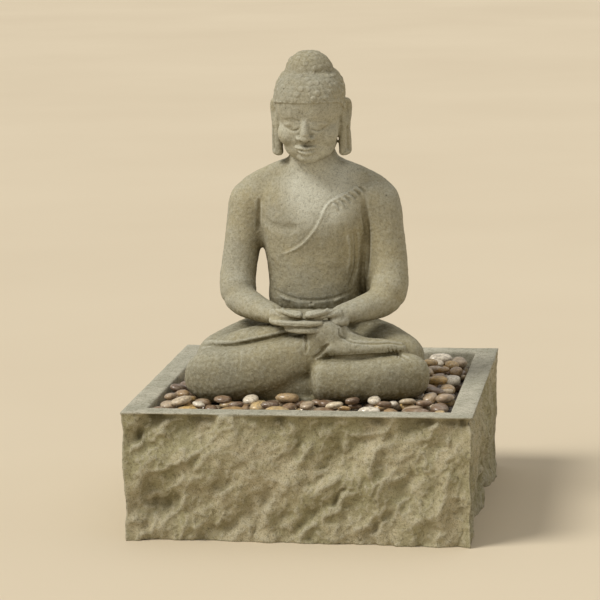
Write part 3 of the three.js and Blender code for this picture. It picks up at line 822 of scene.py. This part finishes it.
def makeTorso():
    clay, bm = torsoClay, bmesh.new()
    limb(bm, clay["trunk"], (0, 1, 0))
    for mirrored in (False, True):
        side = -1 if mirrored else 1
        ball(bm, (side * 102, 38, 350), (44, 42, 38))
        ball(bm, (side * 137, 4, 188), (34, 34, 38))
        limb(bm, clay["trapezius"], (0, 0, 1), mirrored)
        limb(bm, clay["upperArm"], (0, -1, 0), mirrored)
        limb(bm, clay["foreArm"], (0, 0, 1), mirrored)
        limb(bm, clay["thumb"], (0, 0, 1), mirrored, 0.5)
    limb(bm, clay["drape"], (0, 1, 0))
    for name in ("rightFingers", "leftFingers", "leftPalm"):
        limb(bm, clay[name], blunt=0.7)
    ball(bm, (-44, 64, 330), (42, 28, 50))
    ball(bm, (44, 64, 330), (42, 28, 50))
    piece = objectFrom("figureTorso", bm)
    fuse(piece, clay["voxel"])
    relax(piece, clay["relax"], 0.5, 0.12)
    relax(piece, clay["bodyRelax"], 0.5, 0.05, above=clay["handsTop"] * mm)
    strokes = [dict(stroke) for stroke in torsoCarving]
    for (x1, z1), (x2, z2) in gathers:
        middle = ((x1 + x2) / 2 + 2, (z1 + z2) / 2 + 1)
        strokes.append({"route": [(x1, z1), middle, (x2, z2)], "width": 2.2, "height": 3.4, "taper": 3})
        strokes.append({"route": [(x1 + 4, z1 + 2), (middle[0] + 4, middle[1] + 2), (x2 + 4, z2 + 2)],
                        "width": 1.6, "height": -2.8, "taper": 3})
    carve(piece, strokes)
    points = roughen(pointsOf(piece), pointsOf(piece, "normal"), [(0.034, 0.001), (0.011, 0.0005), (0.005, 0.00033)], 3.3)
    movePoints(piece, points)
    return piece


# Head: its own sizes in mm from the middle of the skull, then tipped forward and set on the neck

headClay = {
    "voxel": 0.00145, "relax": 7, "tilt": 11, "place": (0, 13, 500), "neckPivot": -86, "earTurn": 35, "tall": 0.955,
    "brow": [[-46, -31, 12, 7, 5], [-32, -44, 19, 8, 6], [-16, -53, 19, 8, 6], [0, -56, 14, 7, 6], [16, -53, 19, 8, 6],
             [32, -44, 19, 8, 6], [46, -31, 12, 7, 5]],
    "nose": [[0, -53, 18, 6, 6], [0, -60, 6, 6.5, 7], [0, -66, -8, 7.5, 8], [0, -69, -20, 9.5, 9]],
    "upperLip": [[-20, -52, -43.5, 4, 2.6], [-9, -59, -41.5, 5, 4.4], [0, -61, -42.5, 5, 4.2], [9, -59, -41.5, 5, 4.4],
                 [20, -52, -43.5, 4, 2.6]],
    "lowerLip": [[-15, -53, -48.5, 4, 3], [-7, -58, -50.5, 4.6, 4.4], [0, -59.5, -51, 4.6, 4.8], [7, -58, -50.5, 4.6, 4.4],
                 [15, -53, -48.5, 4, 3]],
    "upperLid": [[-37, -41, -1, 5, 4], [-31, -47, 2, 8, 7], [-22, -50, 3, 9, 8], [-13, -50, 0, 6, 5]],
    "neck": [[0, 16, -40, 44, 42], [0, 14, -84, 40, 38], [0, 12, -112, 35, 33]],
    "ear": [[60, 11, 32, 5, 9], [63, 11, 20, 6.5, 16], [63, 9, 2, 7, 15], [61.5, 6, -16, 7, 13], [61, 3, -44, 8.5, 14],
            [61, 2, -76, 9, 14]],
}
headCarving = [
    # lowered lids
    {"route": [(-38, -3), (-30, -7.5), (-22, -9), (-14, -6.5), (-10, -3)], "width": 1.3, "height": -2.2},
    {"route": [(10, -3), (14, -6.5), (22, -9), (30, -7.5), (38, -3)], "width": 1.3, "height": -2.2},
    {"route": [(-38, 8), (-30, 13), (-21, 13.5), (-11, 8)], "width": 2.6, "height": -0.7},
    {"route": [(11, 8), (21, 13.5), (30, 13), (38, 8)], "width": 2.6, "height": -0.7},
    # mouth, philtrum, chin and the sides of the nose
    {"route": [(-22, -45.5), (-11, -46), (0, -47), (11, -46), (22, -45.5)], "width": 1.2, "height": -1.7},
    {"route": [(0, -31), (0, -38)], "width": 1.8, "height": -1.1, "taper": 3},
    {"route": [(-13, -59), (0, -60.5), (13, -59)], "width": 2.6, "height": -1.5},
    {"route": [(-12, -14), (-15, -22), (-13, -29)], "width": 1.4, "height": -1.5},
    {"route": [(12, -14), (15, -22), (13, -29)], "width": 1.4, "height": -1.5},
    {"route": [(-6, -30.5), (-3, -31)], "width": 1.5, "height": -2.4, "taper": 2},
    {"route": [(3, -31), (6, -30.5)], "width": 1.5, "height": -2.4, "taper": 2},
    {"route": [(-34, -84), (-18, -92), (0, -95), (18, -92), (34, -84)], "width": 2.0, "height": -1.8},
]
hair = {"curl": 11, "height": 2.1, "lift": 1.5, "stray": 2.0,
        "lineAngle": [0, 30, 50, 72, 95, 130, 180], "lineHeight": [44, 43, 37, 26, 2, -34, -46]}


def curlCentres(tree):
    # staggered rows of snail curls round the skull and the crown
    spots = []
    for centre, start, stop in ((Vector((0, 8, 36)), 38, 142), (Vector((0, 16, 84)), 0, 84)):
        radius = 70 if centre.z < 60 else 42
        rows = max(1, round(radius * math.radians(stop - start) / hair["curl"] / 0.9))
        for row in range(rows + 1):
            polar = math.radians(start + (stop - start) * row / rows)
            around = max(1, round(2 * math.pi * radius * math.sin(polar) / hair["curl"]))
            for k in range(around):
                azimuth = 2 * math.pi * (k + 0.5 * (row % 2)) / around
                out = Vector((math.sin(polar) * math.sin(azimuth), -math.sin(polar) * math.cos(azimuth), math.cos(polar)))
                hit = tree.ray_cast((centre + out * 140) * mm, -out)[0]
                if hit and (centre.z < 60 or hit.z > 0.074):
                    spots.append(hit + noise.noise_vector(hit * 90) * hair["stray"] * mm)
    return spots


def growHair(piece):
    points, normals = pointsOf(piece), pointsOf(piece, "normal")
    tree = treeOf(piece)
    azimuth = np.degrees(np.abs(np.arctan2(points[:, 0], -(points[:, 1] - 0.008))))
    line = np.interp(azimuth, hair["lineAngle"], hair["lineHeight"]) * mm
    amount = np.clip((points[:, 2] - line) / 0.0022, 0, 1)
    amount[(np.abs(points[:, 0]) > 0.0625) & (points[:, 2] < 0.046)] = 0  # ears stay bare
    spots = [spot for spot in curlCentres(tree)]
    finder = KDTree(len(spots))
    for i, spot in enumerate(spots):
        finder.insert(spot, i)
    finder.balance()
    height = np.zeros(len(points))
    for i in np.nonzero(amount > 0)[0]:
        centre, index, distance = finder.find(Vector(points[i]))
        share = distance / (hair["curl"] * 0.56 * mm)
        dome = math.sqrt(max(0, 1 - share * share)) if share < 1 else 0
        away = Vector(points[i]) - centre
        twist = math.sin(math.atan2(away.z, away.x + away.y) + share * 5.5 + index)
        worn = 0.55 + 0.6 * noise.cell(centre * 300)
        height[i] = hair["lift"] + hair["height"] * worn * dome * (0.9 + 0.16 * twist * min(1, share * 2))
    movePoints(piece, points + normals * (height * amount * mm)[:, None])


def makeHead():
    clay, bm = headClay, bmesh.new()
    ball(bm, (0, 8, 34), (60, 72, 57), power=2.7)
    ball(bm, (0, 15, 78), (41, 41, 41), power=2.15)
    ball(bm, (0, -3, -4), (54, 60, 72), power=2.2)
    ball(bm, (0, -8, -42), (48, 49, 38), power=2.2)
    ball(bm, (0, -34, -60), (24, 24, 18))
    ball(bm, (0, -40, -44), (27, 20, 20))
    turn = math.radians(clay["earTurn"])
    for side in (-1, 1):
        ball(bm, (side * 30, -30, -22), (24, 24, 26))
        ball(bm, (side * 23, -44, 0), (16, 12, 11))
        ball(bm, (side * 10.5, -61, -23), (6.5, 8, 5.5))
        limb(bm, clay["ear"], (side * math.sin(turn), math.cos(turn), 0), side < 0, 0.5)
    ball(bm, (0, -68, -21), (8.5, 8, 7))
    for name in ("brow", "nose", "upperLip", "lowerLip"):
        limb(bm, clay[name])
    limb(bm, clay["upperLid"])
    limb(bm, clay["upperLid"], mirrored=True)
    limb(bm, clay["neck"], (0, 1, 0))
    piece = objectFrom("figureHead", bm)
    fuse(piece, clay["voxel"])
    relax(piece, clay["relax"], 0.5, 0.1)
    carve(piece, headCarving)
    carveEars(piece)
    growHair(piece)
    points = roughen(pointsOf(piece), pointsOf(piece, "normal"), [(0.02, 0.0005), (0.006, 0.0003)], 7.7)
    movePoints(piece, points)
    nod = Matrix.Translation((0, 0, clay["neckPivot"] * mm))
    nod = nod @ Matrix.Rotation(math.radians(clay["tilt"]), 4, "X") @ nod.inverted()
    piece.data.transform(Matrix.Translation(Vector(clay["place"]) * mm) @ nod @ Matrix.Scale(clay["tall"], 4, (0, 0, 1)))
    return piece


def carveEars(piece):
    # the bowl of the ear and the long slit in the lobe, cut from outside along the ear's own width
    points, normals = pointsOf(piece), pointsOf(piece, "normal")
    turn = math.radians(headClay["earTurn"])
    out = (np.abs(points[:, 0]) * math.cos(turn) - points[:, 1] * math.sin(turn)) / mm
    wide = (np.abs(points[:, 0]) * math.sin(turn) + points[:, 1] * math.cos(turn)) / mm
    z = points[:, 2] / mm
    middle = np.interp(z, [-60, -14, 29], [37, 41, 45])
    outer = np.clip((out - np.interp(z, [-60, 29], [49, 47])) / 2.5, 0, 1)
    bowl = np.exp(-(((wide - middle) / 7.5) ** 2) - (((z - 9) / 14) ** 2))
    slit = np.exp(-(((wide - middle) / 4.0) ** 2)) * np.clip((16 - np.abs(z + 42) * 0.62) / 4, 0, 1)
    depth = (5.0 * bowl + 4.2 * slit) * outer * mm
    movePoints(piece, points - normals * depth[:, None])


def makeFigure():
    pieces = [makeLegs(), makeTorso(), makeHead()]
    for piece in pieces:
        piece.data.transform(Matrix.Translation(figureAt))
    bm = bmesh.new()
    bmesh.ops.create_grid(bm, x_segments=1, y_segments=1, size=0.26,
                          matrix=Matrix.Translation((0, 0, figureAt.z + 0.008)))
    bedTop = objectFrom("bedShade", bm)
    tree = treeOf(*pieces, bedTop)
    bpy.data.objects.remove(bedTop)
    material = castStone()
    for piece in pieces:
        shadeSurface(piece, tree)
        finishPiece(piece, material, ["seated_figure"])
    return pieces


# River stones

stones = {
    "seed": 11, "length": (34, 56), "width": (0.64, 0.86), "thick": (0.38, 0.5), "tries": 4200,
    "layers": [(0.2065, 0.004, 1), (0.217, 0.0035, 1), (0.2235, 0.0025, 1), (0.229, 0.002, 0.055)],
    "bubblerRoom": 0.03,
}


def stone(bm, centre, half, turn, level, tone, chance):
    layer = bm.verts.layers.float.get("tone") or bm.verts.layers.float.new("tone")
    made = bmesh.ops.create_icosphere(bm, subdivisions=level, radius=1)["verts"]
    own = Vector((chance.random() * 50, chance.random() * 50, chance.random() * 50))
    place = Matrix.Translation(centre) @ Euler(turn).to_matrix().to_4x4()
    for vert in made:
        lump = 1 + 0.16 * noise.noise(vert.co * 0.9 + own)
        square = Vector([math.copysign(abs(c) ** 0.9, c) for c in vert.co])
        vert.co = place @ Vector([square[k] * half[k] * lump for k in range(3)])
        vert[layer] = tone


def makeNamedPebbles(material, chance):
    for name in sorted(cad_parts):
        if not name.startswith("pebble_") or name == "pebble_bed":
            continue
        low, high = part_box(name)
        bm = bmesh.new()
        stone(bm, (low + high) / 2, (high - low) / 2 * 0.99, (0, 0, 0), 4, chance.random(), chance)
        finishPiece(objectFrom(name.replace("pebble_", "riverStone"), bm), material, [name])


def makeLooseStones(material, figure, chance):
    tree = treeOf(*figure)
    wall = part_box("pebble_bed")[1].x
    pipe = sum(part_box("bubbler_cap"), Vector()) / 2
    placed = []
    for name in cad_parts:
        if name.startswith("pebble_") and name != "pebble_bed":
            low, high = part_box(name)
            middle, size = (low + high) / 2, (high - low) / 2
            long = 0 if size.x > size.y else 1
            for share in (-0.55, 0, 0.55):
                spot = middle.copy()
                spot[long] += share * size[long]
                placed.append((spot.x, spot.y, spot.z, min(size.x, size.y), size.z))
    groups = {"stoneBed": bmesh.new(), "stoneTop": bmesh.new()}
    laid = np.array(placed)
    count = 0
    for level, (height, jitter, heap) in enumerate(stones["layers"]):
        kind = "stoneTop" if level else "stoneBed"
        for attempt in range(stones["tries"]):
            shrink = 1 - 0.34 * attempt / stones["tries"]
            length = chance.uniform(*stones["length"]) * shrink / 2 * mm
            width = length * chance.uniform(*stones["width"])
            thick = length * chance.uniform(*stones["thick"]) * (0.9 if level else 1)
            yaw = chance.uniform(0, math.pi)
            x, y = (chance.uniform(-wall, wall) for _ in range(2))
            z = height + chance.uniform(-jitter, jitter)
            reachX = math.hypot(length * math.cos(yaw), width * math.sin(yaw))
            reachY = math.hypot(length * math.sin(yaw), width * math.cos(yaw))
            if abs(x) + reachX > wall or abs(y) + reachY > wall:
                continue
            if math.hypot(x - pipe.x, y - pipe.y) < stones["bubblerRoom"] * 0.5 + length:
                continue
            discs = [(x + s * length * math.cos(yaw), y + s * length * math.sin(yaw), z, width, thick)
                     for s in (-0.5, 0, 0.5)]
            others = laid
            free = heap == 1 or tree.find_nearest(Vector((x, y, z)), heap)[0] is not None
            for dx, dy, dz, dr, dt in discs if free else ():
                flat = np.hypot(others[:, 0] - dx, others[:, 1] - dy) / (0.93 * (others[:, 3] + dr))
                tall = np.abs(others[:, 2] - dz) / (0.72 * (others[:, 4] + dt))
                if (flat**2 + tall**2 < 1).any():
                    free = False
                    break
                near = tree.find_nearest(Vector((dx, dy, dz)), 0.06)
                if near[0] is not None:
                    outside = (Vector((dx, dy, dz)) - near[0]).dot(near[1]) > 0
                    if not outside or near[3] < thick * 0.8:
                        free = False
                        break
            if not free:
                continue
            laid = np.vstack([laid, discs])
            turn = (chance.uniform(-0.22, 0.22), chance.uniform(-0.22, 0.22), yaw)
            stone(groups[kind], Vector((x, y, z)), (length, width, thick), turn, 2, chance.random(), chance)
            count += 1
    for name, bm in groups.items():
        finishPiece(objectFrom(name, bm), material, ["pebble_bed"])
    print("loose stones", count)


def makeBed():
    # the lower stones as one bed, its top a close cobble, open round the pier and the riser
    low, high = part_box("pebble_bed")
    pierLow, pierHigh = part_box("pier_cap")
    pipe = sum(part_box("bubbler_cap"), Vector()) / 2
    bm = bmesh.new()
    size = high - low
    bmesh.ops.create_grid(bm, x_segments=120, y_segments=120, size=0.5)
    for vert in bm.verts:
        vert.co = Vector((vert.co.x * size.x, vert.co.y * size.y, 0.2))
    room = 0.004
    hidden = [face for face in bm.faces
              if pierLow.x - room < face.calc_center_median().x < pierHigh.x + room
              and pierLow.y - room < face.calc_center_median().y < pierHigh.y + room
              or math.hypot(face.calc_center_median().x - pipe.x, face.calc_center_median().y - pipe.y) < 0.021]
    bmesh.ops.delete(bm, geom=hidden, context="FACES")
    top = set(bm.verts)
    bmesh.ops.solidify(bm, geom=bm.faces[:], thickness=0.02)
    for vert in bm.verts:
        distance = noise.voronoi(Vector((vert.co.x, vert.co.y, 0)) / 0.017)[0][0]
        vert.co.z = 0.2055 - 0.006 * min(1, distance * 1.5) if vert in top else low.z
    bmesh.ops.recalc_face_normals(bm, faces=bm.faces[:])
    finishPiece(objectFrom("gravelBed", bm), bedStone(), ["pebble_bed"])


def makeFittings():
    # CAD pieces that keep their shape get their finish here
    looks = {
        "pierConcrete": (pierConcrete(), ["pier_block_left", "pier_block_right", "pier_cap"]),
        "grate": (castMetal(), ["grate_left", "grate_right"]),
        "pump": (mouldedPlastic("pumpPlastic", (0.012, 0.014, 0.017), (0.05, 0.052, 0.055)),
                 ["pump_motor_block", "pump_volute", "pump_intake_cover", "impeller"]),
        "pipe": (mouldedPlastic("pipePlastic", (0.03, 0.033, 0.036), (0.075, 0.078, 0.08), 0.4),
                 ["outlet_pipe", "bubbler_cap"]),
        "dial": (mouldedPlastic("dialPlastic", (0.56, 0.54, 0.47), (0.42, 0.39, 0.31), 0.38), ["flow_dial"]),
        "rubber": (rubber(), ["cord_grommet", "rotor_bush_rear", "pump_cable_gland"]
                   + [f"suction_foot_{n}" for n in range(1, 5)]),
        "magnet": (mouldedPlastic("ferrite", (0.03, 0.03, 0.032), (0.085, 0.08, 0.075), 0.6), ["rotor_magnet"]),
        "ceramic": (mouldedPlastic("ceramicShaft", (0.66, 0.64, 0.58), (0.78, 0.76, 0.7), 0.25), ["rotor_shaft"]),
    }
    for material, names in looks.values():
        for name in names:
            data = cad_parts[name].data
            data.materials.clear()
            data.materials.append(material)


makeCamera()
makeStudio()
print("studio set")
makeBasin()
print("basin made")
figure = makeFigure()
print("figure made")
chance = random.Random(stones["seed"])
stoneFinish = pebbleStone("riverStone")
makeNamedPebbles(stoneFinish, chance)
makeLooseStones(stoneFinish, figure, chance)
makeBed()
print("stones laid")
makeFittings()

bpy.context.view_layer.update()
